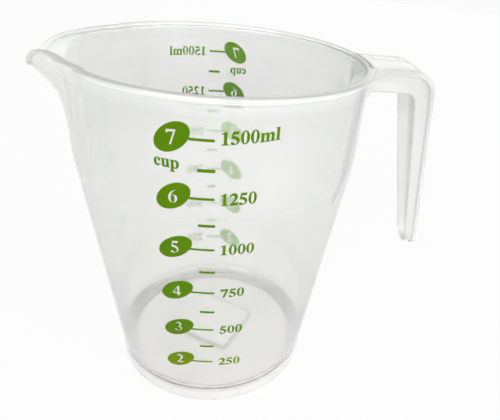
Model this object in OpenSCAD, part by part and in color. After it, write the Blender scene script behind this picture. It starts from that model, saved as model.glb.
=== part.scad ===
// Measuring jug: a tapered body with a straight collar, a rolled rim, a pinched pouring spout,
// an open hook handle and a cup and millilitre scale printed on both sides.
// The table is the plane z = 0, the body's axis is Z, the spout points to -X and the handle to +X.

/* [Body] */
// Height of the rim above the table
jug_h = 167; // [150:1:185]
// Outside diameter of the foot
foot_d = 104.6; // [90:0.2:116]
// Height of the straight foot band below the taper
foot_h = 10; // [8:0.5:20]
// Width of the ring that the jug stands on
foot_w = 2.4; // [1.6:0.1:5]
// Rounding of the foot's lower outside edge
foot_edge = 1.2; // [0.4:0.1:2]
// Outside diameter of the collar
collar_d = 130.4; // [120:0.2:144]
// Height at which the taper becomes the straight collar
collar_z = 125; // [105:1:130]
// Wall thickness
wall = 1.6; // [1.2:0.1:2.2]
// Height of the floor's upper side above the table
floor_z = 7; // [4:0.5:9]
// Floor thickness
floor_t = 1.8; // [1.2:0.1:2.4]
// Rounding between the floor and the wall inside
floor_fillet = 7; // [2:0.5:9]
// Side of the square pad in the middle of the floor
pad_side = 33; // [16:1:44]
// Height of the pad above the floor
pad_h = 3; // [0.6:0.1:4]
// Turn of the pad about the jug's axis
pad_turn = 60; // [0:5:90]

/* [Rim] */
// How far the rolled rim stands out from the collar
rim_out = 2; // [1:0.1:3.5]
// Thickness of the rolled rim, top to bottom
rim_h = 2; // [1.4:0.1:3]

/* [Spout] */
// Half of the angle that the spout takes out of the rim
spout_angle = 45.5; // [35:0.5:60]
// How far the spout's tip stands out from the collar
spout_reach = 15.7; // [8:0.1:20]
// How far the tip dips below the rim
spout_dip = 9.6; // [3:0.1:13]
// Height at which the spout leaves the collar
spout_z = 132.5; // [128:0.5:140]
// How far the folds beside the spout are pinched in
spout_pinch = 1.2; // [0:0.1:2]

/* [Handle] */
// Distance from the body's axis to the centre of the handle's bend
bend_x = 84.4; // [80:0.2:96]
// Outside radius of the bend
bend_r = 11; // [8:0.5:16]
// Lean of the hanging bar, out from the vertical
bar_lean = 10; // [0:0.5:15]
// Height of the bar's free end above the table
bar_end_z = 70.5; // [50:0.5:100]
// Width of the handle at the arm
handle_w = 29; // [22:0.5:36]
// Width of the handle at its free end
handle_end_w = 16.5; // [10:0.5:22]
// Thickness of the strap on the handle's outside
strap_t = 2.4; // [1.6:0.1:3.5]
// Depth of the ribbed arm, from the rim down
arm_depth = 10; // [8:0.5:14]
// Depth of the bar at the bend, strap and ribs
bar_depth = 8.6; // [6:0.2:12]
// Depth of the bar at its free end
bar_end_depth = 6; // [4:0.2:8]
// Thickness of the two side ribs
rib_t = 1.8; // [1.2:0.1:2.6]
// How far the ribs stand back from the strap's edges
rib_inset = 1.2; // [0.4:0.1:2.5]

/* [Printed scale] */
// Height of the lowest numbered mark above the table
mark_low = 33; // [26:0.5:38]
// Rise from each numbered mark to the next
mark_step = 23.9; // [20:0.1:24.4]
// Count of the numbered marks
mark_count = 6; // [2:1:6]
// Thickness of the printed lines
line_t = 1; // [0.6:0.1:1.6]
// Length of the lines at the half marks, along the wall
half_mark_len = 6.3; // [4:0.1:9]
// Length of the lines that lead from the badges, along the wall
leader_len = 10.4; // [7:0.1:14]
// Distance along the wall from the lines' ends to the middle of the badges
badge_offset = 15.8; // [13:0.1:20]
// Width of the oval badge at the lowest mark
badge_low_w = 15.8; // [12:0.1:17]
// Width of the oval badge at the highest mark
badge_high_w = 14.4; // [11:0.1:16]
// Height of the oval badges
badge_h = 9.2; // [7:0.1:12]
// Tilt of the oval badges, right end up
badge_tilt = 38; // [0:1:45]
// Turn of the back print from straight opposite the front print
back_turn = 6.6; // [0:0.2:12]

/* [Hidden] */
$fn = 96;

foot_r = foot_d / 2;
collar_r = collar_d / 2;
fillet_z = floor_z + floor_fillet;
// The rim's bead is round, so its radius is half its thickness
bead_r = rim_h / 2;
// Small edge break inside the rim
rim_edge = 0.4;
// The pad reaches this far into the floor that carries it
pad_sink = 0.4;
// The spout's skin runs this far into the wall around it. At its edges it lies this far inside the wall's faces,
// and it comes up to them over this many millimetres and degrees
spout_lap = 0.6;
spout_seam = 0.12;
spout_fade = 8;
// Shape of the spout: fall of its plan outline, of its dip and of its flare, and rounding of its tip in degrees
plan_power = 3.8;
dip_power = 10;
flare_power = 1.6;
tip_round = 6.5;
// Place and width of the pinched folds, in degrees from the spout's middle, as shares of its angle
fold_place = 0.86;
fold_width = 0.2;
// Counts of the spout skin's columns on each side, of its rows and of the bead's steps
spout_columns = 20;
spout_rows = 12;
bead_steps = 6;
// How strongly the columns gather towards the tip; 1 is evenly
column_gather = 1.35;
// Step for the slopes of the spout's surface, in degrees and millimetres
slope_step = 0.2;
// The handle's root follows the body with this clearance
root_gap = 0.05;
// Rounding inside the handle's bend and where its arm meets the wall
rib_corner = 5;
root_fillet = 4;
// Printed film: thickness, and clearance from the wall
ink_t = 0.2;
ink_gap = 0.01;
// Heights of the numbered marks
mark_heights = [for (i = [0:mark_count - 1]) mark_low + i * mark_step];
// Steps of an oval badge's outline
badge_steps = 36;

clear_plastic = [0.90, 0.91, 0.89, 0.55];
green_ink = [0.29, 0.54, 0.02];

function mix(a, b, t) = a + (b - a) * t;
function along(a, b, z, low, high) = mix(a, b, (z - low) / (high - low));
function arc(c, r, a0, a1, n) = [for (i = [0:n]) c + r * [cos(mix(a0, a1, i / n)), sin(mix(a0, a1, i / n))]];

// Outside radius of the body's wall at a height
function wall_r(z) = z < foot_h ? foot_r : z < collar_z ? along(foot_r, collar_r, z, foot_h, collar_z) : collar_r;

// Spout: share of the full reach at an angle from its middle, with the tip rounded
function off_middle(a) = sqrt(a * a + tip_round * tip_round) - tip_round;
function spout_share(a) = max(0, 1 - off_middle(a) / off_middle(spout_angle));
function spout_top(a) = jug_h - spout_dip * pow(spout_share(a), dip_power);
function fold_share(a) = let (t = (abs(a) / spout_angle - fold_place) / fold_width) max(0, 1 - t * t);
function fold_in(a) = spout_pinch * pow(fold_share(a), 2) * (abs(a) > spout_angle ? 0 : 1);
function rise(a, z) = min(1, max(0, (z - spout_z) / (spout_top(a) - spout_z)));
function plan_out(a) = spout_reach * pow(spout_share(a), plan_power) - edge_fade(a) * fold_in(a);
function edge_fade(a) = min(1, max(0, (spout_angle - abs(a)) / (spout_angle * (1 - fold_place))));
function spout_r(a, z) = wall_r(z) + plan_out(a) * pow(rise(a, z), flare_power);
function slope_z(a, z) = (spout_r(a, z + slope_step) - spout_r(a, z - slope_step)) / (2 * slope_step);
function slope_a(a, z) = (spout_r(a + slope_step, z) - spout_r(a - slope_step, z))
    / (2 * slope_step * PI / 180 * spout_r(a, z));
function seam(a, z) = spout_seam
    * min(1, max(0, 1 - min(z - spout_z, spout_angle - abs(a)) / spout_fade));
function skin(a, z) = wall * sqrt(1 + pow(slope_z(a, z), 2) + pow(slope_a(a, z), 2));

// Section of the spout's skin in the upright half plane at an angle: outside up, round the bead, inside down
function spout_section(a) = let (
    low = spout_z - spout_lap,
    top = spout_top(a),
    under = top - rim_h,
    out_r = spout_r(a, under) + rim_out - bead_r,
    edge = seam(a, top),
    up = [for (i = [0:spout_rows]) let (z = mix(low, under + edge, i / spout_rows))
        [spout_r(a, z) - seam(a, z), z]],
    round_bead = arc([out_r, top - bead_r], bead_r - edge, -90, 90, bead_steps),
    down = [for (i = [0:spout_rows]) let (z = mix(top - edge, low, i / spout_rows))
        [spout_r(a, z) - skin(a, z) + seam(a, z), z]]
) concat(up, round_bead, down);

// Turns a section's point to its place round the axis; angle 0 is the spout's middle, on -X
function place(p, a) = [-p[0] * cos(a), p[0] * sin(a), p[1]];

module spout_skin() {
    reach = spout_angle + spout_lap;
    angles = [for (i = [-spout_columns:spout_columns])
        reach * sign(i) * pow(abs(i) / spout_columns, column_gather)];
    sections = [for (a = angles) spout_section(a)];
    n = len(sections[0]);
    m = len(angles);
    points = [for (i = [0:m - 1]) for (p = sections[i]) place(p, angles[i])];
    sides = [for (i = [0:m - 2]) for (j = [0:n - 1]) let (k = (j + 1) % n)
        each [[i * n + j, (i + 1) * n + k, i * n + k], [i * n + j, (i + 1) * n + j, (i + 1) * n + k]]];
    // Both ends are closed by strips from the outside row to the inside one, and by the bead's own outline
    end = concat(
        [for (j = [0:spout_rows - 1]) [j, j + 1, n - 2 - j, n - 1 - j]],
        [[for (j = [spout_rows:n - 1 - spout_rows]) j]]
    );
    last = [for (f = end) [for (j = [len(f) - 1:-1:0]) (m - 1) * n + f[j]]];
    polyhedron(points = points, faces = concat(sides, end, last), convexity = 6);
}

// Half section of the body: foot ring, floor with its inside fillet, taper, collar and rolled rim
module body_profile() {
    inside_fillet = arc([wall_r(fillet_z) - wall - floor_fillet, fillet_z], floor_fillet, 0, -90, 10);
    bead_c = [collar_r + rim_out - bead_r, jug_h - bead_r];
    polygon(concat(
        [[foot_r - foot_w, 0]],
        arc([foot_r - foot_edge, foot_edge], foot_edge, -90, 0, 6),
        [[foot_r, foot_h], [collar_r, collar_z], [collar_r, jug_h - rim_h]],
        [bead_c + [0, -bead_r], bead_c + [0, bead_r]],
        [[collar_r - wall + rim_edge, jug_h], [collar_r - wall, jug_h - rim_edge], [collar_r - wall, collar_z]],
        fillet_z < foot_h ? [[foot_r - wall, foot_h]] : [],
        inside_fillet,
        [[0, floor_z], [0, floor_z - floor_t], [foot_r - foot_w, floor_z - floor_t]]
    ));
    translate(bead_c)
        circle(r = bead_r);
}

// The part of the collar and the rim that makes way for the spout
module spout_window() {
    far = 3 * collar_r;
    translate([0, 0, spout_z])
        linear_extrude(height = jug_h)
            polygon([[0, 0], far * [-cos(spout_angle), sin(spout_angle)], far * [-cos(spout_angle), -sin(spout_angle)]]);
}

module jug_body() {
    color(clear_plastic)
        union() {
            difference() {
                rotate_extrude()
                    body_profile();
                spout_window();
            }
            spout_skin();
            translate([0, 0, floor_z + (pad_h - pad_sink) / 2])
                rotate([0, 0, pad_turn])
                    cube([pad_side, pad_side, pad_h + pad_sink], center = true);
        }
}

// Body filled solid and grown by a gap: what the handle's root is cut back from
module body_envelope(gap) {
    rotate_extrude()
        union() {
            polygon([
                [0, 0], [foot_r + gap, 0], [foot_r + gap, foot_h],
                [collar_r + gap, collar_z], [collar_r + gap, jug_h + 1], [0, jug_h + 1]
            ]);
            translate([0, jug_h - rim_h - gap])
                square([collar_r + rim_out - bead_r, rim_h + 1]);
            translate([collar_r + rim_out - bead_r, jug_h - bead_r])
                circle(r = bead_r + gap);
        }
}

// Handle, side view in X and Z: the outside path turns from the level arm into the leaning bar
bend_c = [bend_x, jug_h - bend_r];
bar_out = [cos(bar_lean), sin(bar_lean)];
bar_down = [sin(bar_lean), -cos(bar_lean)];
bar_top = bend_c + bend_r * bar_out;
bar_len = (bar_top[1] - bar_end_z) / cos(bar_lean);
bar_end = bar_top + bar_len * bar_down;
// Half width of the handle at a height, less an inset
function half_w(z, inset) = along(handle_w, handle_end_w, min(z, bar_top[1]), bar_top[1], bar_end_z) / 2 - inset;

module strap_side() {
    polygon(concat(
        [[collar_r - wall, jug_h - strap_t], [collar_r - wall, jug_h]],
        arc(bend_c, bend_r, 90, bar_lean, 16),
        [bar_end, bar_end - strap_t * bar_out],
        arc(bend_c, bend_r - strap_t, bar_lean, 90, 16)
    ));
}

module rib_side() {
    // Inside corner where the arm's underside turns into the bar's inner edge
    inner_top = bar_top - bar_depth * bar_out;
    inner_end = bar_end - bar_end_depth * bar_out;
    inner_dir = (inner_top - inner_end) / norm(inner_top - inner_end);
    inner_turn = atan2(-inner_dir[0], inner_dir[1]);
    corner_z = jug_h - arm_depth - rib_corner;
    corner_x = inner_end[0] + inner_dir[0] / inner_dir[1] * (corner_z - inner_end[1]);
    corner_c = [corner_x - rib_corner / cos(inner_turn), corner_z];
    root_c = [collar_r + root_fillet, jug_h - arm_depth - root_fillet];
    polygon(concat(
        [[collar_r - wall, jug_h - strap_t / 2], [bend_x, jug_h - strap_t / 2]],
        arc(bend_c, bend_r - strap_t / 2, 90, bar_lean, 16),
        [bar_end - strap_t / 2 * bar_out, inner_end],
        arc(corner_c, rib_corner, inner_turn, 90, 8),
        arc(root_c, root_fillet, 90, 180, 8),
        [[collar_r - wall, root_c[1]]]
    ));
}

// Handle, front view in Y and Z, drawn in by an inset, with its lower end rounded
module handle_front(inset) {
    end_r = half_w(bar_end_z, inset);
    end_z = bar_end_z + inset + end_r;
    side = half_w(bar_top[1], inset);
    polygon(concat(
        [[side, jug_h], [-side, jug_h], [-side, bar_top[1]]],
        arc([0, end_z], end_r, 180, 360, 16),
        [[side, bar_top[1]]]
    ));
}

// A side view given its full width, and a front view given its full reach
module wide() {
    rotate([90, 0, 0])
        linear_extrude(height = handle_w, center = true)
            children();
}

module deep() {
    rotate([90, 0, 90])
        linear_extrude(height = bar_end[0] + bend_r)
            children();
}

module handle() {
    color(clear_plastic)
        difference() {
            union() {
                intersection() {
                    wide() strap_side();
                    deep() handle_front(0);
                }
                intersection() {
                    wide() rib_side();
                    deep()
                        difference() {
                            handle_front(rib_inset);
                            handle_front(rib_inset + rib_t);
                        }
                }
            }
            body_envelope(root_gap);
        }
}

// Printed film over the wall, as a thin revolved skin
module ink_skin() {
    near = ink_gap;
    far = ink_gap + ink_t;
    rotate_extrude()
        polygon([
            [foot_r + near, foot_h], [foot_r + far, foot_h],
            [collar_r + far, collar_z], [collar_r + far, jug_h - rim_h],
            [collar_r + near, jug_h - rim_h], [collar_r + near, collar_z]
        ]);
}

// A point of the print, given along the wall and up, seen square on
function on_wall(s, z) = [wall_r(z) * sin(s / wall_r(z) * 180 / PI), z];

// What is drawn by its children, seen square on, as film on the front wall
module film() {
    color(green_ink)
        intersection() {
            ink_skin();
            rotate([90, 0, 0])
                linear_extrude(height = collar_r + 1)
                    children();
        }
}

module printed_line(z, from_s, to_s) {
    polygon([
        on_wall(from_s, z - line_t / 2), on_wall(to_s, z - line_t / 2),
        on_wall(to_s, z + line_t / 2), on_wall(from_s, z + line_t / 2)
    ]);
}

module badge(z) {
    high = mark_heights[mark_count - 1];
    w = along(badge_low_w, badge_high_w, z, mark_low, high);
    polygon([for (i = [0:badge_steps - 1]) let (
        t = 360 * i / badge_steps,
        across = w / 2 * cos(t),
        up = badge_h / 2 * sin(t)
    ) on_wall(
        across * cos(badge_tilt) - up * sin(badge_tilt) - badge_offset,
        z + across * sin(badge_tilt) + up * cos(badge_tilt)
    )]);
}

module cup_badges() {
    for (z = mark_heights)
        film() badge(z);
}

module leader_lines() {
    for (z = mark_heights)
        film()
            difference() {
                printed_line(z, -leader_len, 0);
                badge(z);
            }
}

module half_marks() {
    for (i = [1:mark_count - 1])
        film() printed_line((mark_heights[i - 1] + mark_heights[i]) / 2, -half_mark_len, 0);
}

// The back print is the front one turned round the axis
module turned_back() {
    rotate([0, 0, 180 + back_turn])
        children();
}

module front_cup_badges() cup_badges();
module front_leader_lines() leader_lines();
module front_half_marks() half_marks();
module back_cup_badges() turned_back() cup_badges();
module back_leader_lines() turned_back() leader_lines();
module back_half_marks() turned_back() half_marks();

jug_body();
handle();
front_cup_badges();
front_leader_lines();
front_half_marks();
back_cup_badges();
back_leader_lines();
back_half_marks();
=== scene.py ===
"""Looks of the measuring jug: translucent shell, ribbed hook handle and a scale printed twice."""

import math

import bmesh
import bpy
import numpy as np
from mathutils import Matrix, Vector
from mathutils.geometry import delaunay_2d_cdt


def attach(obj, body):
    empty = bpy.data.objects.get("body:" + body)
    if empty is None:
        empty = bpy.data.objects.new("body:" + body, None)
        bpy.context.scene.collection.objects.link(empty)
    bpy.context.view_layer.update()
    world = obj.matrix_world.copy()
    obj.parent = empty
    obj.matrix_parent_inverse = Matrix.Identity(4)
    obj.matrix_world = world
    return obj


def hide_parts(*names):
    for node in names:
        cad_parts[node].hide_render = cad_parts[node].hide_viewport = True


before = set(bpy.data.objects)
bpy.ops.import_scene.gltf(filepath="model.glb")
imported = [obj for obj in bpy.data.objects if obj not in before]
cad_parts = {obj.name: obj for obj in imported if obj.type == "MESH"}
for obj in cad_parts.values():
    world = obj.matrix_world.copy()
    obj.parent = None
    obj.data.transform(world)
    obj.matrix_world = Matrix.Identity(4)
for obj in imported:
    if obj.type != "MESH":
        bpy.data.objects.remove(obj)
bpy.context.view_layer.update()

MM = 0.001

# Sizes of the jug in millimetres and degrees, as in the solids.
JUG_H, FOOT_R, FOOT_H, FOOT_W, FOOT_EDGE = 167.0, 52.3, 10.0, 2.4, 1.2
COLLAR_R, COLLAR_Z, WALL = 65.2, 125.0, 1.6
FLOOR_Z, FLOOR_T, FLOOR_FILLET = 7.0, 1.8, 7.0
PAD_SIDE, PAD_H, PAD_TURN = 33.0, 3.0, 15.0
RIM_OUT, RIM_H = 2.0, 2.0
SPOUT_ANGLE, SPOUT_REACH, SPOUT_DIP, SPOUT_Z, SPOUT_PINCH = 45.5, 15.7, 9.6, 132.5, 1.2
PLAN_POWER, DIP_POWER, FLARE_POWER, TIP_ROUND = 3.8, 10.0, 1.6, 6.5
FOLD_PLACE, FOLD_WIDTH = 0.86, 0.2
BEND_X, BEND_R, BAR_LEAN, BAR_END_Z = 84.4, 11.0, 10.0, 70.5
HANDLE_W, HANDLE_END_W, STRAP_T = 29.0, 16.5, 2.4
ARM_DEPTH, BAR_DEPTH, BAR_END_DEPTH = 10.0, 8.6, 6.0
RIB_T, RIB_INSET, RIB_CORNER, ROOT_FILLET = 1.8, 1.2, 5.0, 4.0
BACK_TURN = 6.6

# Small roundings of the looks: how far each reaches, and its middle point.
RECESS_ROUND, RECESS_MID, FOOT_ROUND, FOOT_MID = 0.9, 0.3, 0.8, 0.2
LIP_ROUND, LIP_MID, EDGE_ROUND, EDGE_MID = 0.5, 0.15, 0.55, 0.16
PAD_POWER = 1.04
INK_LIFT = 0.06
# The handle's first section is sunk in the collar, and the next ones step out of it.
ROOT_SUNK, ROOT_STEP, ROOT_REACH = 0.3, 0.2, 6
SHARP_ANGLE = 50

# How clear the plastic is: thin walls pass most light, thick places look milky.
WALL_CLEAR, MID_CLEAR, INSIDE_CLEAR = 0.7, 0.85, 0.98
RIM_CLEAR, FOOT_CLEAR, ARM_CLEAR, TIP_CLEAR = 0.4, 0.66, 0.6, 0.54
UNDER_CLEAR, FLOOR_CLEAR, FILLET_CLEAR, PAD_CLEAR, PAD_SIDE_CLEAR = 0.88, 0.86, 0.9, 0.92, 0.4
# The same up the outside of the wall, by height.
CLEAR_Z = [6, 15, 95, 125]
CLEAR_AT_Z = [FOOT_CLEAR, MID_CLEAR, MID_CLEAR, WALL_CLEAR]
# Shares of the way up the spout's outside, and down its inside, where the rim's milkiness fades.
RIM_FADE_OUT, RIM_FADE_IN = [0.85, 1], [0, 0.12]

# Spans of angles from the spout's middle: first, end and step. Columns are closest at the spout.
COLUMN_SPANS = ((0, 12, 0.6), (12, 50, 0.95), (50, 180, 2.0))
# Heights of the wall's rings, closest at its two bends.
OUTER_Z = [
    3, 6, 7.3, 8.7, 10, 11.3, 12.7, 14, 20, 28, 40, 54,
    68, 82, 96, 110, 118, 121, 122.3, 123.7, 125, 126.3, 127.7, 129,
]
UNDER_RADII, FLOOR_RADII, PAD_SHARES = (15, 30, 42), (40, 33, 27), (0.66, 0.33)
SPOUT_STEPS, BEND_STEPS, BAR_STEPS = 26, 14, 12
# Stations along the handle's arm, as shares of the way from the collar to the bend.
ARM_SHARES = (0, 0.04, 0.08, 0.12, 0.16, 0.21, 0.3, 0.45, 0.6, 0.75, 0.9)
# Insets from the handle's edge, and the angles round its rounded end that stations follow there.
END_TURNS = (
    (RIB_INSET + RIB_T, (30, 60, 78, 86, 90)),
    (RIB_INSET, (72, 80, 86, 90)),
    (0.0, (64, 72, 79, 85, 88)),
)
# Narrower than this, the rounded end leaves no room for a rib or for the channel.
NO_ROOM = 0.05


def wall_r(z, soft=4.0):
    """Outside radius of the wall at a height, with its two bends softly rounded."""
    lean = (COLLAR_R - FOOT_R) / (COLLAR_Z - FOOT_H)
    r = np.interp(z, [0, FOOT_H, COLLAR_Z, JUG_H], [FOOT_R, FOOT_R, COLLAR_R, COLLAR_R])
    for bend, turn in ((FOOT_H, lean), (COLLAR_Z, -lean)):
        r = r + turn * np.maximum(0, soft - np.abs(z - bend)) ** 2 / (4 * soft)
    return r


# Spout, as functions of the angle from its middle in degrees and of the height.
def spout_share(a):
    """1 at the spout's middle and 0 where it ends, with a rounded tip."""

    def off(t):
        return np.sqrt(t * t + TIP_ROUND * TIP_ROUND) - TIP_ROUND

    return np.maximum(0, 1 - off(a) / off(SPOUT_ANGLE))


def spout_top(a):
    """Height of the rim."""
    return JUG_H - SPOUT_DIP * spout_share(a) ** DIP_POWER


def plan_out(a):
    """How far the rim stands out of the round wall; it is drawn in at a fold on each side."""
    t = (np.abs(a) / SPOUT_ANGLE - FOLD_PLACE) / FOLD_WIDTH
    fade = np.clip((SPOUT_ANGLE - np.abs(a)) / (SPOUT_ANGLE * (1 - FOLD_PLACE)), 0, 1)
    fold = SPOUT_PINCH * np.maximum(0, 1 - t * t) ** 2 * fade
    return SPOUT_REACH * spout_share(a) ** PLAN_POWER - fold


def spout_r(a, z):
    """Outside radius at an angle and a height."""
    rise = np.clip((z - SPOUT_Z) / (spout_top(a) - SPOUT_Z), 0, 1)
    return wall_r(z) + plan_out(a) * rise**FLARE_POWER


def skin(a, z, step=0.2):
    """How far the inside lies in from the outside, so that a sloping wall keeps its thickness."""
    up = (spout_r(a, z + step) - spout_r(a, z - step)) / (2 * step)
    across = 2 * math.radians(step) * spout_r(a, z)
    round_ = (spout_r(a + step, z) - spout_r(a - step, z)) / across
    return WALL * np.sqrt(1 + up * up + round_ * round_)


def arc(n, a0, a1):
    return [(math.cos(math.radians(t)), math.sin(math.radians(t))) for t in np.linspace(a0, a1, n)]


def aimed(angle):
    """The direction at an angle in radians."""
    return np.array([math.cos(angle), math.sin(angle)])


def mesh_object(name, verts, faces, material, smooth=True):
    me = bpy.data.meshes.new(name)
    me.from_pydata([tuple(v) for v in verts], [], [tuple(f) for f in faces])
    me.validate()
    bm = bmesh.new()
    bm.from_mesh(me)
    bmesh.ops.recalc_face_normals(bm, faces=bm.faces)
    bm.to_mesh(me)
    bm.free()
    if smooth:
        me.shade_smooth()
    me.materials.append(material)
    o = bpy.data.objects.new(name, me)
    bpy.context.scene.collection.objects.link(o)
    return o


def ring_faces(count, n, first=0):
    """Faces between rings of n points that follow each other, from a first point on."""
    faces = []
    for b in range(first, first + (count - 1) * n, n):
        faces += [(b + j, b + (j + 1) % n, b + n + (j + 1) % n, b + n + j) for j in range(n)]
    return faces


def set_values(o, name, values):
    """A number for each point, for the material to read."""
    layer = o.data.attributes.new(name, "FLOAT", "POINT")
    layer.data.foreach_set("value", np.asarray(values, dtype=np.float32))


def build_body(material):
    """One closed shell of rings: from under the floor up the outside, over the rim, down inside."""
    half_round = np.concatenate([np.arange(*span) for span in COLUMN_SPANS])
    a = np.concatenate([-half_round[:0:-1], half_round, [180.0]])
    one = np.ones_like(a)
    rings = []

    def ring(r, z, clear):
        rings.append((r * one, z * one, clear))

    under = FLOOR_Z - FLOOR_T
    for r in UNDER_RADII:
        ring(r, under, UNDER_CLEAR)
    for r, z in (
        (-RECESS_ROUND, under),
        (-RECESS_MID, under - RECESS_MID),
        (0, under - RECESS_ROUND),
        (0, FOOT_ROUND),
        (FOOT_MID, FOOT_MID),
        (FOOT_ROUND, 0),
    ):
        ring(FOOT_R - FOOT_W + r, z, FOOT_CLEAR)
    for c, s in arc(7, -90, 0):
        ring(FOOT_R - FOOT_EDGE + FOOT_EDGE * c, FOOT_EDGE + FOOT_EDGE * s, FOOT_CLEAR)
    for z in OUTER_Z:
        ring(wall_r(z), z, float(np.interp(z, CLEAR_Z, CLEAR_AT_Z)))

    # Collar and spout, the rolled rim, and the inside of both.
    top = spout_top(a)
    low_lip = top - RIM_H
    for t in np.linspace(0, 1, SPOUT_STEPS):
        z = SPOUT_Z + (low_lip - LIP_ROUND - SPOUT_Z) * t
        clear = np.interp(t, RIM_FADE_OUT, [WALL_CLEAR, 0.5 * (WALL_CLEAR + RIM_CLEAR)])
        rings.append((spout_r(a, z), z, float(clear)))
    bead = RIM_H / 2
    lip_r = spout_r(a, low_lip)
    rings.append((lip_r + LIP_MID, low_lip - LIP_MID, RIM_CLEAR))
    rings.append((lip_r + LIP_ROUND, low_lip, RIM_CLEAR))
    for c, s in arc(11, -90, 90):
        rings.append((lip_r + RIM_OUT - bead + bead * c, top - bead + bead * s, RIM_CLEAR))
    in_r = spout_r(a, top) - skin(a, top)
    rings.append((in_r + EDGE_ROUND, top, RIM_CLEAR))
    rings.append((in_r + EDGE_MID, top - EDGE_MID, RIM_CLEAR))
    for t in np.linspace(0, 1, SPOUT_STEPS):
        z = (top - EDGE_ROUND) + (SPOUT_Z - top + EDGE_ROUND) * t
        clear = np.interp(t, RIM_FADE_IN, [0.5 * (INSIDE_CLEAR + RIM_CLEAR), INSIDE_CLEAR])
        rings.append((spout_r(a, z) - skin(a, z), z, float(clear)))

    # Inside of the wall, the floor with its rounded corner, and the pad.
    fillet_z = FLOOR_Z + FLOOR_FILLET
    fillet_r = wall_r(fillet_z) - WALL - FLOOR_FILLET
    for z in reversed([z for z in OUTER_Z if z > fillet_z + 0.2]):
        ring(wall_r(z) - WALL, z, INSIDE_CLEAR)
    for c, s in arc(12, 0, -90):
        ring(fillet_r + FLOOR_FILLET * c, fillet_z + FLOOR_FILLET * s, FILLET_CLEAR)
    for r in FLOOR_RADII:
        ring(r, FLOOR_Z, FLOOR_CLEAR)
    # The square pad stands turned, with its corners off the axes. Rings by outset and height.
    turned = np.radians(a + PAD_TURN)
    c, s = np.abs(np.cos(turned)), np.abs(np.sin(turned))
    rho = PAD_SIDE / math.sqrt(2) / (c**PAD_POWER + s**PAD_POWER) ** (1 / PAD_POWER)
    for grow, z, clear in (
        (1.0, 0, PAD_CLEAR),
        (0.6, 0.12, PAD_SIDE_CLEAR),
        (0.3, PAD_H - 0.35, PAD_SIDE_CLEAR),
        (0.1, PAD_H - 0.1, PAD_SIDE_CLEAR),
        (-0.3, PAD_H, PAD_CLEAR),
    ):
        ring(rho + grow, FLOOR_Z + z, clear)
    for share in PAD_SHARES:
        ring(rho * share, FLOOR_Z + PAD_H, PAD_CLEAR)

    n = len(a)
    cos, sin = np.cos(np.radians(a)), np.sin(np.radians(a))
    verts = [np.array([[0, 0, under]])]
    verts += [np.c_[-r * cos, r * sin, z] for r, z, _ in rings]
    verts.append(np.array([[0, 0, FLOOR_Z + PAD_H]]))
    verts = np.concatenate(verts) * MM
    faces = [(0, 1 + (j + 1) % n, 1 + j) for j in range(n)]
    faces += ring_faces(len(rings), n, first=1)
    b, last = 1 + (len(rings) - 1) * n, len(verts) - 1
    faces += [(b + j, b + (j + 1) % n, last) for j in range(n)]
    o = mesh_object("jug_shell", verts, faces, material)
    clears = np.repeat([clear for _, _, clear in rings], n)
    set_values(o, "clear", np.concatenate([[UNDER_CLEAR], clears, [PAD_CLEAR]]))
    return o


def handle_section(outer, inwards, rib_edge, hw, y1, y2):
    """Closed loop of points round the handle: the strap, a rib along each edge, the channel.

    hw is half the strap's width, and y1 and y2 are where a rib's outer and inner faces stand.
    """
    ribbed, open_ = y1 > NO_ROOM, y2 > NO_ROOM
    y1 = y1 if ribbed else 0.3 * hw
    y2 = y2 if open_ else 0.35 * y1
    floor_q = 0.0 if open_ else 1.0
    strap_in = outer + inwards * STRAP_T
    rib_end = rib_edge if ribbed else strap_in
    e = min(0.7, hw * 0.3)
    w = y1 - y2

    def strap(y, depth):
        p = outer + inwards * depth
        return (p[0], y, p[1])

    def rib(y, q):
        p = strap_in + (rib_end - strap_in) * q
        return (p[0], y, p[1])

    half = [strap(hw * 0.35, 0), strap(hw * 0.7, 0), strap(hw - e, 0)]
    half += [strap(hw - 0.3 * e, 0.2), strap(hw, 0.7), strap(hw, STRAP_T - 0.6)]
    half += [strap(hw - 0.25 * e, STRAP_T - 0.15), strap(y1 + 0.25 * (hw - y1), STRAP_T)]
    half += [rib(y1, 0.04), rib(y1, 0.5), rib(y1, 0.88)]
    half += [rib(y1 - 0.07 * w, 0.96), rib(y1 - 0.3 * w, 1), rib(y2 + 0.3 * w, 1)]
    half += [rib(y2 + 0.07 * w, 0.96 if open_ else 1), rib(y2, 0.88 if open_ else 1)]
    half += [rib(y2, max(0.12, floor_q)), rib(y2 - 0.15 * y2, floor_q), rib(y2 * 0.4, floor_q)]
    other = [(x, -y, z) for x, y, z in reversed(half)]
    return np.array([strap(0, 0)] + half + [rib(0, floor_q)] + other)


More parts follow.
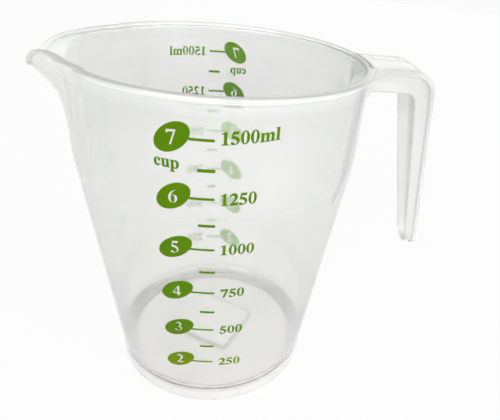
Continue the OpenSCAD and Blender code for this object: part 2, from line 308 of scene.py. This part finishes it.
def build_handle(material):
    """Sections along the arm, round the bend and down the bar to its rounded end."""
    lean = math.radians(BAR_LEAN)
    out, down = aimed(lean), np.array([math.sin(lean), -math.cos(lean)])
    c1 = np.array([BEND_X, JUG_H - BEND_R])
    bar_top = c1 + BEND_R * out
    bar_end = bar_top + (bar_top[1] - BAR_END_Z) / math.cos(lean) * down
    inner_end = bar_end - BAR_END_DEPTH * out
    inner_top = bar_top - BAR_DEPTH * out
    d = (inner_top - inner_end) / np.linalg.norm(inner_top - inner_end)
    turn = math.atan2(-d[0], d[1])
    corner_z = JUG_H - ARM_DEPTH - RIB_CORNER
    corner_x = inner_end[0] + d[0] / d[1] * (corner_z - inner_end[1])
    c2 = np.array([corner_x - RIB_CORNER / math.cos(turn), corner_z])
    bar_in_top = c2 + RIB_CORNER * aimed(turn)
    end_r = HANDLE_END_W / 2
    end_z = BAR_END_Z + end_r

    def half_w(z, inset=0.0):
        """Half width at a height, drawn in by an inset; 0 beyond the rounded end."""
        if z >= end_z:
            return float(np.interp(z, [end_z, bar_top[1]], [end_r, HANDLE_W / 2])) - inset
        return math.sqrt(max(0.0, (end_r - inset) ** 2 - (end_z - z) ** 2))

    # Stations: point on the outside, direction inwards, point on the ribs' edge, half width.
    stations = []
    for u in ARM_SHARES:
        x, xi = COLLAR_R + u * (BEND_X - COLLAR_R), COLLAR_R + u * (c2[0] - COLLAR_R)
        gap = max(0.0, COLLAR_R + ROOT_FILLET - xi)
        drop = ROOT_FILLET - math.sqrt(max(0.0, ROOT_FILLET**2 - gap**2))
        rib_edge = np.array([xi, JUG_H - ARM_DEPTH - drop])
        stations.append((np.array([x, JUG_H]), np.array([0.0, -1.0]), rib_edge, HANDLE_W / 2))
    for t in np.linspace(0, 1, BEND_STEPS):
        n1 = aimed(math.radians(90 + (BAR_LEAN - 90) * t))
        rib_edge = c2 + RIB_CORNER * aimed(math.pi / 2 + (turn - math.pi / 2) * t)
        outer = c1 + BEND_R * n1
        stations.append((outer, -n1, rib_edge, half_w(outer[1])))
    z_top = bar_top[1]
    zs = [z_top + (end_z - z_top) * t for t in np.linspace(0, 1, BAR_STEPS)[1:]]
    for inset, turns in END_TURNS:
        zs += [end_z - (end_r - inset) * math.sin(math.radians(p)) for p in turns]
    for z in sorted(zs, reverse=True):
        t = (z - z_top) / (bar_end[1] - z_top)
        rib_edge = bar_in_top + (inner_end - bar_in_top) * t
        stations.append((bar_top + (bar_end - bar_top) * t, -out, rib_edge, half_w(z)))

    loops = []
    for k, (outer, inwards, rib_edge, hw) in enumerate(stations):
        y1, y2 = half_w(outer[1], RIB_INSET), half_w(outer[1], RIB_INSET + RIB_T)
        loop = handle_section(outer, inwards, rib_edge, hw, y1, y2)
        if k == 0:
            loop[:, 0] = np.sqrt((COLLAR_R - ROOT_SUNK) ** 2 - loop[:, 1] ** 2)
        elif loop[0, 0] < COLLAR_R + ROOT_REACH:
            collar = np.sqrt((COLLAR_R + ROOT_STEP * k) ** 2 - loop[:, 1] ** 2)
            loop[:, 0] = np.maximum(loop[:, 0], collar)
        loops.append(loop)
    m = len(loops[0])
    verts = np.concatenate(loops) * MM
    faces = ring_faces(len(loops), m)
    faces.append(tuple((len(loops) - 1) * m + j for j in range(m)))
    o = mesh_object("hook_handle", verts, faces, material)
    o.data.set_sharp_from_angle(angle=math.radians(SHARP_ANGLE))
    clears = np.interp(verts[:, 2] / MM, [BAR_END_Z, JUG_H], [TIP_CLEAR, ARM_CLEAR])
    set_values(o, "clear", clears)
    return o


# Outlines of the print's bold serif characters, on a body 1000 units high, each after its width.
# M moves, L draws a line, C draws a curve.
GLYPHS = {
    "0": (
        500,
        "M 250 700 C 375 700 468 545 468 345 C 468 140 375 -12 250 -12 C 125 -12 32 140 32 345 "
        "C 32 545 125 700 250 700 "
        "M 250 664 C 185 664 160 560 160 345 C 160 125 185 24 250 24 C 315 24 340 125 340 345 "
        "C 340 560 315 664 250 664",
    ),
    "1": (
        500,
        "M 72 0 L 438 0 L 438 24 C 360 27 330 45 330 105 L 330 694 L 312 694 L 70 590 L 70 564 "
        "C 96 575 118 582 138 582 C 174 582 190 555 190 495 L 190 105 C 190 45 158 27 72 24",
    ),
    "2": (
        500,
        "M 28 0 L 436 0 L 480 188 L 456 188 C 440 142 418 130 360 130 L 196 130 "
        "C 306 240 442 352 442 502 C 442 620 352 694 240 694 C 128 694 50 622 28 482 L 54 474 "
        "C 80 542 118 574 174 574 C 246 574 294 524 294 440 C 294 312 190 190 28 22",
    ),
    "3": (
        500,
        "M 50 520 C 88 640 160 694 250 694 C 362 694 434 628 434 542 C 434 470 392 424 330 394 "
        "C 422 360 472 300 472 214 C 472 78 350 -12 180 -12 C 78 -12 24 20 24 70 "
        "C 24 110 54 136 94 136 C 164 136 180 36 254 36 C 310 36 350 86 350 170 "
        "C 350 270 290 318 174 324 L 174 350 C 266 362 310 416 310 500 C 310 566 270 606 210 606 "
        "C 150 606 110 574 76 508",
    ),
    "4": (
        500,
        "M 478 252 L 478 142 L 402 142 L 402 0 L 272 0 L 272 142 L 16 142 L 16 240 L 306 694 "
        "L 402 694 L 402 252 "
        "M 272 252 L 272 548 L 86 252",
    ),
    "5": (
        500,
        "M 128 680 L 436 680 L 402 556 L 166 556 L 140 458 C 302 440 452 370 452 216 "
        "C 452 84 330 -12 174 -12 C 84 -12 24 20 24 70 C 24 108 52 132 92 132 "
        "C 160 132 190 40 256 40 C 310 40 346 86 346 156 C 346 270 230 322 58 332",
    ),
    "6": (
        500,
        "M 476 694 C 250 672 26 522 26 280 C 26 100 114 -12 254 -12 C 386 -12 474 86 474 226 "
        "C 474 350 402 426 300 426 C 250 426 210 408 182 380 C 202 520 302 632 480 668 "
        "M 250 376 C 310 376 336 310 336 200 C 336 90 310 28 260 28 C 196 28 166 120 166 250 "
        "C 166 290 168 324 172 346 C 190 366 220 376 250 376",
    ),
    "7": (
        500,
        "M 24 680 L 480 680 L 480 656 L 246 -10 L 140 -10 L 346 556 L 176 556 "
        "C 110 556 84 536 50 470 L 24 476",
    ),
    "c": (
        444,
        "M 420 120 C 376 30 310 -12 236 -12 C 104 -12 24 86 24 226 C 24 376 120 476 250 476 "
        "C 340 476 412 424 412 354 C 412 310 386 284 346 284 C 304 284 286 310 278 356 "
        "C 270 400 260 436 230 436 C 184 436 160 370 160 270 C 160 146 206 80 276 80 "
        "C 320 80 360 100 398 140",
    ),
    "u": (
        556,
        "M 14 462 L 216 462 L 216 140 C 216 90 236 70 266 70 C 296 70 330 96 346 126 L 346 380 "
        "C 346 420 330 432 284 436 L 284 462 L 482 462 L 482 84 C 482 40 492 30 536 26 L 536 0 "
        "L 350 0 L 350 70 C 316 20 270 -12 206 -12 C 130 -12 80 30 80 110 L 80 380 "
        "C 80 420 64 432 14 436",
    ),
    "p": (
        556,
        "M 20 462 L 212 462 L 212 396 C 246 446 290 476 346 476 C 460 476 532 376 532 240 "
        "C 532 90 446 -12 326 -12 C 280 -12 240 6 214 40 L 214 -130 C 214 -170 230 -180 286 -182 "
        "L 286 -206 L 20 -206 L 20 -182 C 62 -178 76 -166 76 -126 L 76 380 "
        "C 76 420 62 432 20 436 "
        "M 214 350 L 214 96 C 232 56 260 36 296 36 C 356 36 388 110 388 226 "
        "C 388 340 356 410 300 410 C 262 410 232 388 214 350",
    ),
    "m": (
        833,
        "M 20 462 L 206 462 L 206 396 C 240 450 290 476 346 476 C 410 476 456 446 470 390 "
        "C 510 450 566 476 620 476 C 706 476 756 426 756 320 L 756 84 C 756 40 768 30 812 26 "
        "L 812 0 L 568 0 L 568 26 C 606 30 618 40 618 84 L 618 320 C 618 376 606 400 570 400 "
        "C 536 400 506 378 484 346 L 484 84 C 484 40 496 30 534 26 L 534 0 L 296 0 L 296 26 "
        "C 334 30 346 40 346 84 L 346 320 C 346 376 334 400 298 400 C 262 400 234 378 212 346 "
        "L 212 84 C 212 40 224 30 264 26 L 264 0 L 20 0 L 20 26 C 62 30 76 40 76 84 L 76 380 "
        "C 76 420 62 432 20 436",
    ),
    "l": (
        278,
        "M 14 680 L 206 680 L 206 84 C 206 42 218 30 260 26 L 260 0 L 14 0 L 14 26 "
        "C 58 30 70 42 70 84 L 70 596 C 70 636 58 648 14 652",
    ),
}
NUMERAL_UNITS = 690


def glyph_loops(char, steps=6):
    """Closed outlines of a character as arrays of points."""
    words = GLYPHS[char][1].split()
    loops, points, i = [], [], 0

    def point(k):
        return (float(words[i + k]), float(words[i + k + 1]))

    while i < len(words):
        if words[i] == "M":
            if points:
                loops.append(np.array(points))
            points = [point(1)]
            i += 3
        elif words[i] == "L":
            points.append(point(1))
            i += 3
        else:
            p0 = np.array(points[-1])
            p1, p2, p3 = (np.array(point(k)) for k in (1, 3, 5))
            for t in np.linspace(0, 1, steps + 1)[1:]:
                u = 1 - t
                points.append(tuple(p0 * u**3 + 3 * p1 * t * u**2 + 3 * p2 * t * t * u + p3 * t**3))
            i += 7
    loops.append(np.array(points))
    return [p[:-1] if np.allclose(p[0], p[-1]) else p for p in loops]


def grown(p, by):
    """A closed outline moved outwards by a distance."""
    e = np.roll(p, -1, axis=0) - p
    e /= np.linalg.norm(e, axis=1)[:, None]
    turn = np.sign(np.sum(p[:, 0] * np.roll(p[:, 1], -1) - np.roll(p[:, 0], -1) * p[:, 1]))
    n = turn * np.c_[e[:, 1], -e[:, 0]]
    m = n + np.roll(n, 1, axis=0)
    return p + by * m / np.maximum(np.sum(m * m, axis=1) / 2, 0.5)[:, None]


def letter(char, left, right, z_left, z_right, height, bold):
    """A character's outlines along the wall, between two ends of its base line.

    The height is that of a numeral.
    """
    loops = []
    for k, p in enumerate(glyph_loops(char)):
        x = p[:, 0] / GLYPHS[char][0]
        s = left + (right - left) * x
        z = z_left + (z_right - z_left) * x + p[:, 1] / NUMERAL_UNITS * height
        loops.append(grown(np.c_[s, z], -bold if k else bold))
    return loops


def oval_loop(s0, z0, w, h, tilt, n=64):
    t = np.linspace(0, 2 * math.pi, n, endpoint=False)
    x, y = w / 2 * np.cos(t), h / 2 * np.sin(t)
    c, s = math.cos(math.radians(tilt)), math.sin(math.radians(tilt))
    return np.c_[s0 + x * c - y * s, z0 + x * s + y * c]


def inside(points, loops):
    """Which points lie inside an odd number of loops."""
    hit = np.zeros(len(points), bool)
    for p in loops:
        q = np.roll(p, -1, axis=0)
        for (x0, y0), (x1, y1) in zip(p, q):
            cross = (y0 > points[:, 1]) != (y1 > points[:, 1])
            if not cross.any() or y0 == y1:
                continue
            hit ^= cross & (points[:, 0] < x0 + (points[:, 1] - y0) / (y1 - y0) * (x1 - x0))
    return hit


def fill(loops, pitch=1.4, clearance=0.3):
    """Triangles of the area inside the loops.

    Points are spread inside a large area, clear of its edge, so that it can follow the wall.
    """
    verts, edges = [], []
    for p in loops:
        b = len(verts)
        verts += [Vector(v) for v in p]
        edges += [(b + i, b + (i + 1) % len(p)) for i in range(len(p))]
    every = np.concatenate(loops)
    lo, hi = every.min(0), every.max(0)
    if (hi - lo).max() > 2.5 * pitch:
        along = np.arange(lo[0] + pitch / 2, hi[0], pitch)
        up = np.arange(lo[1] + pitch / 2, hi[1], pitch)
        gx, gy = np.meshgrid(along, up)
        grid = np.c_[gx.ravel(), gy.ravel()]
        grid = grid[inside(grid, loops)]
        near = [np.hypot(*(every - g).T).min() for g in grid]
        verts += [Vector(g) for g, off in zip(grid, near) if off > clearance]
    out, _, tris, _, _, _ = delaunay_2d_cdt(verts, edges, [], 0, 1e-5)
    pts = np.array([tuple(v) for v in out])
    tris = np.array([t for t in tris if len(t) == 3])
    keep = inside(pts[tris].mean(1), loops)
    return pts, tris[keep]


def on_wall(pts, lift):
    """Points along the wall and up, laid on its outside; 0 along is the middle of the front."""
    s, z = pts[:, 0], pts[:, 1]
    r = wall_r(z)
    a = s / r
    return np.c_[(r + lift) * np.sin(a), -(r + lift) * np.cos(a), z]


def build_print(name, groups, material, turn=0.0):
    """One printed piece: thin closed films set in the wall's surface, a little proud of it."""
    verts, faces, under, base = [], [], [], 0
    for loops in groups:
        pts, tris = fill(loops)
        n = len(pts)
        under += [0.0] * n + [1.0] * n
        verts += [on_wall(pts, INK_LIFT), on_wall(pts, -INK_LIFT)]
        faces += [tuple(int(i) + base for i in t) for t in tris]
        faces += [tuple(int(i) + base + n for i in reversed(t)) for t in tris]
        sides = {}
        for t in tris:
            for i, j in zip(t, np.roll(t, -1)):
                sides[(int(i), int(j))] = True
        rim = [(i + base, j + base) for i, j in sides if (j, i) not in sides]
        faces += [(j, i, i + n, j + n) for i, j in rim]
        base += 2 * n
    v = np.concatenate(verts) * MM
    c, s = math.cos(math.radians(turn)), math.sin(math.radians(turn))
    v = np.c_[v[:, 0] * c - v[:, 1] * s, v[:, 0] * s + v[:, 1] * c, v[:, 2]]
    o = mesh_object(name, v, faces, material, smooth=False)
    set_values(o, "under", under)
    return o


# The printed scale, in millimetres along the wall and up.
# Cup marks: numeral, height, width of the badge, and the numeral's foot and height.
CUPS = [
    ("2", 33.0, 15.8, 29.8, 6.4),
    ("3", 57.0, 15.8, 54.1, 6.1),
    ("4", 81.2, 15.8, 77.7, 5.9),
    ("5", 105.5, 15.5, 102.2, 6.3),
    ("6", 129.4, 14.5, 126.5, 5.5),
    ("7", 152.0, 14.4, 149.1, 5.6),
]
# Volume labels: left and right ends, the foot's offset from the mark at both, numerals' height.
LABELS = [
    ("250", 2.7, 13.4, -2.7, -3.3, 5.4),
    ("500", 2.6, 13.2, -2.7, -2.5, 5.2),
    ("750", 2.5, 12.8, -2.7, -2.2, 4.9),
    ("1000", 1.5, 15.4, -2.5, -1.9, 5.1),
    ("1250", 1.0, 14.7, -2.5, -1.6, 4.9),
    ("1500ml", 0.6, 21.6, -1.5, 0.3, 4.7),
]
# The word for the cups: left and right ends, its foot at both, and a numeral's height.
CUP_WORD = (-22.5, -13.3, 140.8, 140.4, 4.5)
BADGE_S, BADGE_H, BADGE_TILT = -15.8, 9.2, 38
DIGIT_LEFT, DIGIT_RIGHT, DIGIT_RISE = -17.9, -14.0, 0.3
BOLD, LEVEL_DROP = 0.07, -2.4
# The leaders end a little short of the middle near the top.
LEADER_S, END_Z, END_S = -10.0, [80.0, 152.0], [0.0, -1.2]
# Half marks start before a leader's end and run a little past it.
HALF_BEFORE, HALF_PAST, HALF_T = 6.1, 0.2, 1.25


def line_end(z):
    return float(np.interp(z, END_Z, END_S))


def line(s0, s1, z, t=1.0, n=6):
    """Outline of a level line, with n points along each side."""
    s = np.linspace(s0, s1, n)
    return np.concatenate([np.c_[s, np.full(n, z - t / 2)], np.c_[s[::-1], np.full(n, z + t / 2)]])


def badge_groups():
    """Ovals with their numerals left open."""
    groups = []
    for digit, z, w, foot, h in CUPS:
        oval = oval_loop(BADGE_S, z, w, BADGE_H, BADGE_TILT)
        numeral = letter(digit, DIGIT_LEFT, DIGIT_RIGHT, foot, foot + DIGIT_RISE, h, -BOLD)
        groups.append([oval] + numeral)
    return groups


def leader_groups():
    return [[line(LEADER_S, line_end(z), z)] for _, z, *_ in CUPS]


def half_groups():
    middles = [(a[1] + b[1]) / 2 for a, b in zip(CUPS, CUPS[1:])]
    return [[line(line_end(z) - HALF_BEFORE, line_end(z) + HALF_PAST, z, HALF_T)] for z in middles]


def split_word(word, left, right, z0, z1, h):
    """A word's characters one by one, so that each is filled alone."""
    advance = sum(GLYPHS[c][0] for c in word)
    at, out = 0, []
    for c in word:
        t0, t1 = at / advance, (at + GLYPHS[c][0]) / advance
        s0, s1 = left + (right - left) * t0, left + (right - left) * t1
        out.append(letter(c, s0, s1, z0 + (z1 - z0) * t0, z0 + (z1 - z0) * t1, h, BOLD))
        at += GLYPHS[c][0]
    return out


def label_groups(level):
    """The volume labels and the word for the cups; level labels stand on a flat base line."""
    groups = []
    for (word, left, right, d0, d1, h), (_, z, *_) in zip(LABELS, CUPS):
        d0, d1 = (LEVEL_DROP, LEVEL_DROP) if level else (d0, d1)
        groups += split_word(word, left, right, z + d0, z + d1, h)
    return groups + split_word("cup", *CUP_WORD)


# Values of the materials. A ramp is a list of stops: a place, then a shade or a colour.
PLASTIC_IOR = 1.49
# Tint by height: warmer and darker at the foot, and darker towards the top as painted shade for the
# jug's inside.
BODY_TINT_AND_SHADE = [
    (0.0, (0.9, 0.89, 0.85)),
    (0.05, (0.965, 0.96, 0.94)),
    (0.3, (0.945, 0.945, 0.93)),
    (0.7, (0.915, 0.92, 0.9)),
]
CLOUD_TINT, CLOUD_ROUGH = [(0.3, 0.96), (0.7, 1.0)], 0.03
HAZE = [(0.18, 0.1), (0.46, 0.04)]
GRAIN_STRENGTH, GRAIN_DEPTH = 0.03, 0.0002
SHADOW_PASS = [(0.63, 0.5), (0.7, 0.3)]
INK_UPPER = [(0.3, (0.078, 0.186, 0.0004)), (0.7, (0.092, 0.208, 0.0007))]
INK_LOWER = [(0.3, (0.14, 0.215, 0.0003)), (0.7, (0.16, 0.24, 0.0005))]
# Painted light: the ink's wall side, much lighter low down, stands in for light reaching it through
# the plastic.
INK_UNDER_PAINTED_LIGHT = [(0.0, (0.42, 0.95, 0.001)), (1.0, (0.17, 0.4, 0.0008))]
INK_ROUGH, INK_SPECULAR = [(0.3, 0.38), (0.7, 0.5)], 0.06
# Heights in metres from which, and to which, the ink changes: from its lower to its upper colour,
# and where the painted light on its wall side fades.
LOWER_TO_UPPER, PAINTED_LIGHT_FADE = (0.03, 0.055), (0.112, 0.124)
FLOOR_TINT, FLOOR_ROUGH, FLOOR_SPECULAR = [(0.0, 0.86), (1.0, 0.89)], 0.8, 0.1
FLOOR_GLOW, FLOOR_SIZE = 0.94, 8
SKY_SHADE, SKY_LIGHT = [(0.0, 0.86), (0.4, 0.9), (0.9, 0.94)], 0.28


def new_material(name):
    m = bpy.data.materials.new(name)
    m.use_nodes = True
    nt = m.node_tree
    return m, nt, nt.nodes["Principled BSDF"]


def put(nt, socket, value):
    """Gives a socket a plain value, or links another socket to it."""
    if isinstance(value, (int, float)):
        socket.default_value = value
    else:
        nt.links.new(value, socket)


def math_node(nt, operation, *values):
    n = nt.nodes.new("ShaderNodeMath")
    n.operation = operation
    for socket, value in zip(n.inputs, values):
        put(nt, socket, value)
    return n.outputs[0]


def own_place(nt):
    """Places in the piece's own coordinates."""
    return nt.nodes.new("ShaderNodeTexCoord").outputs["Object"]


def height_in(nt, place):
    split = nt.nodes.new("ShaderNodeSeparateXYZ")
    put(nt, split.inputs["Vector"], place)
    return split.outputs["Z"]


def noise(nt, place, scale, detail, roughness=0.5):
    n = nt.nodes.new("ShaderNodeTexNoise")
    put(nt, n.inputs["Vector"], place)
    for name, value in (("Scale", scale), ("Detail", detail), ("Roughness", roughness)):
        put(nt, n.inputs[name], value)
    return n.outputs["Fac"]


def spread(nt, source, low, high):
    """0 up to a low value, 1 from a high one, and even between them."""
    n = nt.nodes.new("ShaderNodeMapRange")
    for name, value in (("Value", source), ("From Min", low), ("From Max", high)):
        put(nt, n.inputs[name], value)
    return n.outputs["Result"]


def ramp(nt, source, stops):
    r = nt.nodes.new("ShaderNodeValToRGB")
    els = r.color_ramp.elements
    while len(els) < len(stops):
        els.new(0.5)
    for e, (p, c) in zip(els, stops):
        e.position = p
        e.color = (c, c, c, 1) if isinstance(c, (int, float)) else (*c, 1)
    put(nt, r.inputs["Fac"], source)
    return r.outputs["Color"]


def mixed(nt, factor, a, b, blend="MIX"):
    """Two colours in one."""
    n = nt.nodes.new("ShaderNodeMix")
    n.data_type = "RGBA"
    n.blend_type = blend
    for name, value in (("Factor", factor), ("A", a), ("B", b)):
        put(nt, n.inputs[name], value)
    return n.outputs["Result"]


def attribute(nt, name):
    n = nt.nodes.new("ShaderNodeAttribute")
    n.attribute_name = name
    return n.outputs["Fac"]


def mix_shaders(nt, factor, first, second, output):
    """Leads two shaders, mixed by a factor, to the output."""
    n = nt.nodes.new("ShaderNodeMixShader")
    for key, value in (("Fac", factor), (1, first), (2, second)):
        put(nt, n.inputs[key], value)
    put(nt, nt.nodes[output].inputs["Surface"], n.outputs["Shader"])


def seen(nt):
    """1 for what is seen straight, in gloss or through the plastic, and 0 for scattered light."""
    path = nt.nodes.new("ShaderNodeLightPath")
    out = path.outputs["Is Camera Ray"]
    for name in ("Is Glossy Ray", "Is Transmission Ray"):
        out = math_node(nt, "MAXIMUM", out, path.outputs[name])
    straight = math_node(nt, "LESS_THAN", path.outputs["Diffuse Depth"], 0.5)
    return math_node(nt, "MINIMUM", out, straight)


def translucent_plastic():
    """Milky clear plastic; the points' clear value is the share of light that passes."""
    m, nt, bsdf = new_material("translucent_plastic")
    place = own_place(nt)
    cloud = noise(nt, place, scale=22.0, detail=3.0, roughness=0.55)
    grain = noise(nt, place, scale=900.0, detail=2.0, roughness=0.6)
    # Warmer and darker at the foot, and a little darker towards the top as painted shade for the
    # inside of the jug, with faint clouds from the moulding.
    rise = spread(nt, height_in(nt, place), 0.0, JUG_H * MM)
    body, clouds = ramp(nt, rise, BODY_TINT_AND_SHADE), ramp(nt, cloud, CLOUD_TINT)
    put(nt, bsdf.inputs["Base Color"], mixed(nt, 1.0, body, clouds, "MULTIPLY"))
    # Hazy at the foot and glossier up the wall.
    rough = math_node(nt, "MULTIPLY_ADD", cloud, CLOUD_ROUGH, ramp(nt, rise, HAZE))
    put(nt, bsdf.inputs["Roughness"], rough)
    bump = nt.nodes.new("ShaderNodeBump")
    for name, value in (("Strength", GRAIN_STRENGTH), ("Distance", GRAIN_DEPTH), ("Height", grain)):
        put(nt, bump.inputs[name], value)
    put(nt, bsdf.inputs["Normal"], bump.outputs["Normal"])
    put(nt, bsdf.inputs["IOR"], PLASTIC_IOR)
    clear = attribute(nt, "clear")
    put(nt, bsdf.inputs["Transmission Weight"], clear)
    # Lamps reach what is inside and behind the plastic.
    path = nt.nodes.new("ShaderNodeLightPath")
    passing = nt.nodes.new("ShaderNodeBsdfTransparent")
    put(nt, passing.inputs["Color"], ramp(nt, clear, SHADOW_PASS))
    shadow = path.outputs["Is Shadow Ray"]
    mix_shaders(nt, shadow, bsdf.outputs["BSDF"], passing.outputs["BSDF"], "Material Output")
    return m


def green_ink():
    m, nt, bsdf = new_material("green_ink")
    place = own_place(nt)
    cloud = noise(nt, place, scale=160.0, detail=4.0, roughness=0.6)
    z = height_in(nt, place)
    # The lowest badge is a little yellower.
    lower, upper = ramp(nt, cloud, INK_LOWER), ramp(nt, cloud, INK_UPPER)
    over = mixed(nt, spread(nt, z, *LOWER_TO_UPPER), lower, upper)
    # Painted light: the side that lies on the wall is coloured lighter, most of all low down, where
    # less lamp light reaches it.
    under = ramp(nt, spread(nt, z, *PAINTED_LIGHT_FADE), INK_UNDER_PAINTED_LIGHT)
    put(nt, bsdf.inputs["Base Color"], mixed(nt, attribute(nt, "under"), over, under))
    put(nt, bsdf.inputs["Specular IOR Level"], INK_SPECULAR)
    put(nt, bsdf.inputs["Roughness"], ramp(nt, cloud, INK_ROUGH))
    return m


def floor_material():
    """White to the eye and in or through the jug, and still a floor that takes its shadow."""
    m, nt, bsdf = new_material("pale_floor")
    cloud = noise(nt, own_place(nt), scale=3.0, detail=2.0)
    put(nt, bsdf.inputs["Base Color"], ramp(nt, cloud, FLOOR_TINT))
    put(nt, bsdf.inputs["Roughness"], FLOOR_ROUGH)
    put(nt, bsdf.inputs["Specular IOR Level"], FLOOR_SPECULAR)
    share = math_node(nt, "MULTIPLY", seen(nt), FLOOR_GLOW)
    glow = nt.nodes.new("ShaderNodeEmission")
    put(nt, glow.inputs["Strength"], 1.0)
    mix_shaders(nt, share, bsdf.outputs["BSDF"], glow.outputs["Emission"], "Material Output")
    return m


plastic, ink = translucent_plastic(), green_ink()
shell, handle = build_body(plastic), build_handle(plastic)
for o, n in ((shell, "jug_body"), (handle, "handle")):
    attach(o, "root")
    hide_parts(n)
for side, turn in (("front", 0.0), ("back", 180.0 + BACK_TURN)):
    for kind, groups, stands_for in (
        ("badges", badge_groups(), f"{side}_cup_badges"),
        ("leaders", leader_groups(), f"{side}_leader_lines"),
        ("halves", half_groups(), f"{side}_half_marks"),
        ("labels", label_groups(side == "back"), None),
    ):
        o = build_print(f"{side}_print_{kind}", groups, ink, turn)
        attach(o, "root")
        if stands_for:
            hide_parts(stands_for)

# Stage: a pale floor, and four soft lamps, two in front and two behind.
bpy.ops.mesh.primitive_plane_add(size=FLOOR_SIZE)
floor = bpy.context.object
floor.name = "floor"
floor.data.materials.append(floor_material())


def area_light(name, place, aim, size, power, mirrored=True):
    """A lamp, in metres and watts; one that is not mirrored shows in no reflection."""
    d = bpy.data.lights.new(name, "AREA")
    d.shape = "RECTANGLE"
    d.size, d.size_y, d.energy = size[0], size[1], power
    o = bpy.data.objects.new(name, d)
    bpy.context.scene.collection.objects.link(o)
    o.location = place
    o.rotation_euler = (Vector(aim) - Vector(place)).to_track_quat("-Z", "Y").to_euler()
    o.visible_glossy = mirrored


area_light("key", (-0.9, -1.8, 0.9), (0, 0, 0.06), (2.0, 1.4), 34)
area_light("fill", (1.7, -1.0, 0.9), (0, 0, 0.06), (2.0, 1.4), 30, mirrored=False)
area_light("back", (0.75, 1.7, 0.55), (0, 0, 0.15), (1.6, 0.35), 1.0)
area_light("rear", (0.3, 1.9, 0.45), (0, 0, 0.1), (1.8, 0.7), 5, mirrored=False)

# Sky: a little greyer towards the horizon, and dimmer as a light than as a backdrop.
world = bpy.data.worlds.new("studio")
bpy.context.scene.world = world
world.use_nodes = True
wt = world.node_tree
lit, shown = wt.nodes["Background"], wt.nodes.new("ShaderNodeBackground")
put(wt, lit.inputs["Strength"], SKY_LIGHT)
sky = wt.nodes.new("ShaderNodeTexCoord")
shade = ramp(wt, height_in(wt, sky.outputs["Generated"]), SKY_SHADE)
for b in (lit, shown):
    put(wt, b.inputs["Color"], shade)
mix_shaders(wt, seen(wt), lit.outputs["Background"], shown.outputs["Background"], "World Output")

# Camera, at the photo's viewing angle: lengths in the photo's pixels, angles in radians.
PHOTO_W, PHOTO_H, SENSOR_W = 500, 420, 36.0
F_PX, PP, PITCH, YAW, ROLL = 468.308, (277.942, 220.96), 0.555, 0.154, 0.108
CAMERA_AT = (0, -0.21271, 0.213748)
fw = np.array(
    [math.sin(YAW) * math.cos(PITCH), math.cos(YAW) * math.cos(PITCH), -math.sin(PITCH)]
)
side_ = np.array([math.cos(YAW), -math.sin(YAW), 0.0])
up_ = np.cross(side_, fw)
right = math.cos(ROLL) * side_ + math.sin(ROLL) * up_
upright = -math.sin(ROLL) * side_ + math.cos(ROLL) * up_
cam_data = bpy.data.cameras.new("camera")
cam = bpy.data.objects.new("camera", cam_data)
bpy.context.scene.collection.objects.link(cam)
turned = Matrix((right, upright, -fw)).transposed().to_4x4()
cam.matrix_world = Matrix.Translation(CAMERA_AT) @ turned
cam_data.sensor_fit = "HORIZONTAL"
cam_data.sensor_width = SENSOR_W
cam_data.lens = F_PX / PHOTO_W * SENSOR_W
cam_data.shift_x = (PHOTO_W / 2 - PP[0]) / PHOTO_W
cam_data.shift_y = (PP[1] - PHOTO_H / 2) / PHOTO_W
cam_data.clip_start = 0.01
bpy.context.scene.camera = cam

bpy.context.scene.view_settings.view_transform = "Standard"
